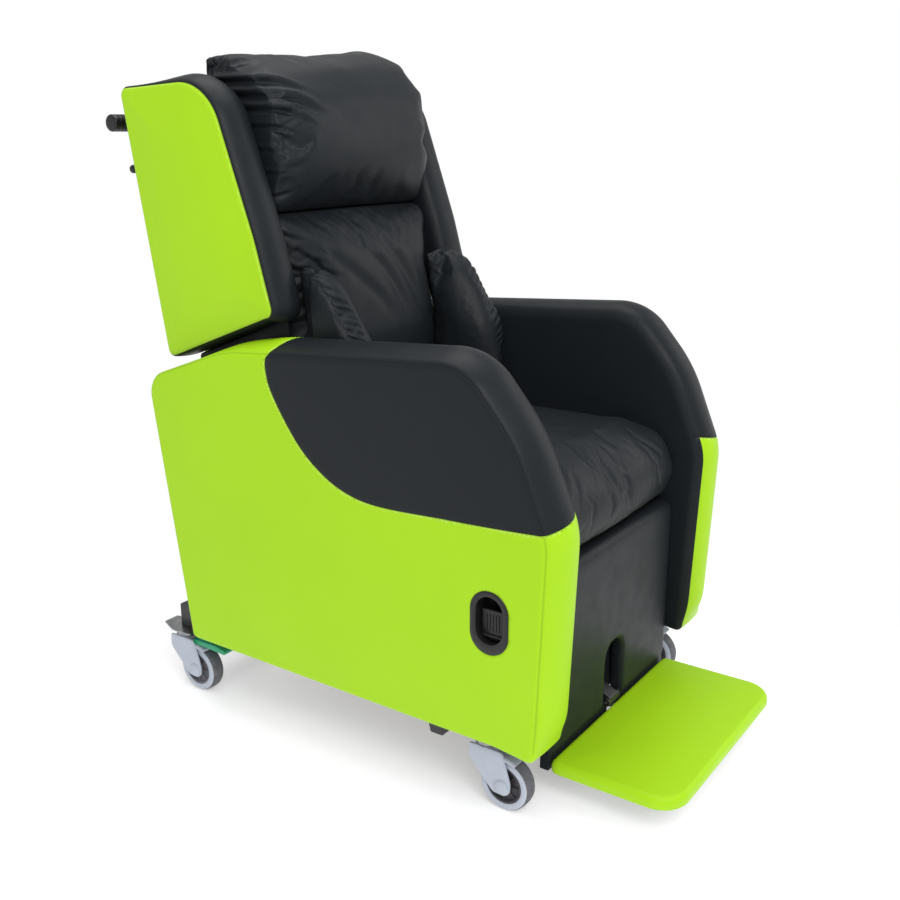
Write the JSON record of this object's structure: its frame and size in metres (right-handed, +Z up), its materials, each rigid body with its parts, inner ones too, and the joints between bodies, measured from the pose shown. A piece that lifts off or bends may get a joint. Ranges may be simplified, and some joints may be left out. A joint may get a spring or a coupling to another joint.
{
  "type": "patient recliner chair",
  "caption": "Upholstered patient recliner on swivel castors, with padded arms and wings, a reclining back, a lifting leg rest, a folding footplate and a push bar.",
  "frame": {"origin": "on the floor, below the middle of the chair's overall box", "axes": "+Z is up; -Y is the way the sitter faces; +X is the sitter's left"},
  "size_m": [0.72, 1.244, 1.3153],
  "materials": {
    "lime_vinyl": "satin grained vinyl",
    "charcoal_vinyl": "satin grained vinyl",
    "black_steel": "powder coated",
    "zinc_steel": "bright zinc plated",
    "plywood": "unfinished plywood",
    "castor_grey": "moulded, light grey",
    "tyre_grey": "matte non-marking rubber",
    "hub_dark": "moulded, dark grey",
    "pedal_green": "moulded, green",
    "black_plastic": "moulded, black"
  },
  "bodies": {
    "chassis": {"chassis_frame": "black_steel", "seat_deck": "plywood", "seat_cushion": "charcoal_vinyl", "arm_left": "lime_vinyl", "arm_right": "lime_vinyl", "side_board_left": "plywood", "side_board_right": "plywood", "release_cup": "black_plastic", "recline_pin_left": "zinc_steel", "recline_pin_right": "zinc_steel", "recline_spring_tube": "black_steel", "legrest_spring_tube": "black_steel", "castor_plate_front_left": "zinc_steel", "castor_plate_front_right": "zinc_steel", "castor_plate_rear_left": "zinc_steel", "castor_plate_rear_right": "zinc_steel"},
    "paddle": {"release_paddle": "black_plastic"},
    "back": {"back_frame": "black_steel", "back_board": "plywood", "rear_cover": "lime_vinyl", "wing_left": "lime_vinyl", "wing_right": "lime_vinyl", "back_cushion": "charcoal_vinyl", "bolster_left": "charcoal_vinyl", "bolster_right": "charcoal_vinyl", "push_bar": "black_steel", "push_grip_left": "black_plastic", "push_grip_right": "black_plastic"},
    "head_rest": {"head_cushion": "charcoal_vinyl"},
    "recline_release": {"release_bar": "black_steel", "release_knob_left": "black_plastic", "release_knob_right": "black_plastic"},
    "leg_rest": {"legrest_frame": "black_steel", "legrest_board": "plywood", "legrest_pad": "charcoal_vinyl", "foot_hanger": "black_steel"},
    "foot_rest": {"footplate": "lime_vinyl", "foot_hinge": "black_steel", "foot_pin": "zinc_steel"},
    "recline_piston": {"recline_spring_rod": "zinc_steel"},
    "legrest_piston": {"legrest_spring_rod": "zinc_steel"},
    "fork_front_left": {"castor_fork_front_left": "castor_grey", "castor_axle_front_left": "zinc_steel"},
    "fork_front_right": {"castor_fork_front_right": "castor_grey", "castor_axle_front_right": "zinc_steel"},
    "fork_rear_left": {"castor_fork_rear_left": "castor_grey", "castor_axle_rear_left": "zinc_steel"},
    "fork_rear_right": {"castor_fork_rear_right": "castor_grey", "castor_axle_rear_right": "zinc_steel"},
    "wheel_front_left": {"castor_hub_front_left": "hub_dark", "castor_tyre_front_left": "tyre_grey"},
    "wheel_front_right": {"castor_hub_front_right": "hub_dark", "castor_tyre_front_right": "tyre_grey"},
    "wheel_rear_left": {"castor_hub_rear_left": "castor_grey", "castor_tyre_rear_left": "tyre_grey"},
    "wheel_rear_right": {"castor_hub_rear_right": "castor_grey", "castor_tyre_rear_right": "tyre_grey"},
    "pedal_rear_left": {"brake_pedal_rear_left": "pedal_green"},
    "pedal_rear_right": {"brake_pedal_rear_right": "pedal_green"}
  },
  "joints": [
    {"name": "back_recline", "type": "hinge", "parent": "chassis", "child": "back", "pos_m": [0, 0.3213, 0.48], "axis": [-1, 0, 0], "range_deg": [0, 30]},
    {"name": "head_cushion_slide", "type": "slide", "parent": "back", "child": "head_rest", "axis": [0, 0.1672, 0.9859], "range_m": [0, 0.05]},
    {"name": "release_bar_squeeze", "type": "hinge", "parent": "back", "child": "recline_release", "pos_m": [0, 0.5425, 1.08], "axis": [1, 0, 0], "range_deg": [0, 20]},
    {"name": "legrest_lift", "type": "hinge", "parent": "chassis", "child": "leg_rest", "pos_m": [0, -0.3515, 0.408], "axis": [-1, 0, 0], "range_deg": [0, 75]},
    {"name": "footplate_fold", "type": "hinge", "parent": "leg_rest", "child": "foot_rest", "pos_m": [0, -0.373, 0.0885], "axis": [-1, 0, 0], "range_deg": [0, 88]},
    {"name": "recline_spring_stroke", "type": "slide", "parent": "chassis", "child": "recline_piston", "axis": [0, -1, 0], "range_m": [0, 0.0518]},
    {"name": "legrest_spring_stroke", "type": "slide", "parent": "chassis", "child": "legrest_piston", "axis": [0, -1, 0], "range_m": [0, 0.0608]},
    {"name": "release_paddle_pull", "type": "hinge", "parent": "chassis", "child": "paddle", "pos_m": [-0.349, -0.3155, 0.346], "axis": [0, -1, 0], "range_deg": [0, 25]},
    {"name": "swivel_front_left", "type": "hinge", "parent": "chassis", "child": "fork_front_left", "pos_m": [0.309, -0.2855, 0.1187], "axis": [0, 0, 1], "continuous": true},
    {"name": "swivel_front_right", "type": "hinge", "parent": "chassis", "child": "fork_front_right", "pos_m": [-0.309, -0.2855, 0.1187], "axis": [0, 0, 1], "continuous": true},
    {"name": "swivel_rear_left", "type": "hinge", "parent": "chassis", "child": "fork_rear_left", "pos_m": [0.309, 0.4865, 0.1187], "axis": [0, 0, 1], "continuous": true},
    {"name": "swivel_rear_right", "type": "hinge", "parent": "chassis", "child": "fork_rear_right", "pos_m": [-0.309, 0.4865, 0.1187], "axis": [0, 0, 1], "continuous": true},
    {"name": "spin_front_left", "type": "hinge", "parent": "fork_front_left", "child": "wheel_front_left", "pos_m": [0.309, -0.3255, 0.05], "axis": [1, 0, 0], "continuous": true},
    {"name": "spin_front_right", "type": "hinge", "parent": "fork_front_right", "child": "wheel_front_right", "pos_m": [-0.309, -0.3255, 0.05], "axis": [1, 0, 0], "continuous": true},
    {"name": "spin_rear_left", "type": "hinge", "parent": "fork_rear_left", "child": "wheel_rear_left", "pos_m": [0.309, 0.4465, 0.05], "axis": [1, 0, 0], "continuous": true},
    {"name": "spin_rear_right", "type": "hinge", "parent": "fork_rear_right", "child": "wheel_rear_right", "pos_m": [-0.309, 0.4465, 0.05], "axis": [1, 0, 0], "continuous": true},
    {"name": "brake_rear_left", "type": "hinge", "parent": "fork_rear_left", "child": "pedal_rear_left", "pos_m": [0.309, 0.4465, 0.1135], "axis": [1, 0, 0], "range_deg": [0, 15]},
    {"name": "brake_rear_right", "type": "hinge", "parent": "fork_rear_right", "child": "pedal_rear_right", "pos_m": [-0.309, 0.4465, 0.1135], "axis": [1, 0, 0], "range_deg": [0, 15]}
  ],
  "couplings": [
    {"joint": "recline_spring_stroke", "follows": "back_recline", "m_per_rad": 0.0989},
    {"joint": "legrest_spring_stroke", "follows": "legrest_lift", "m_per_rad": 0.0464}
  ]
}
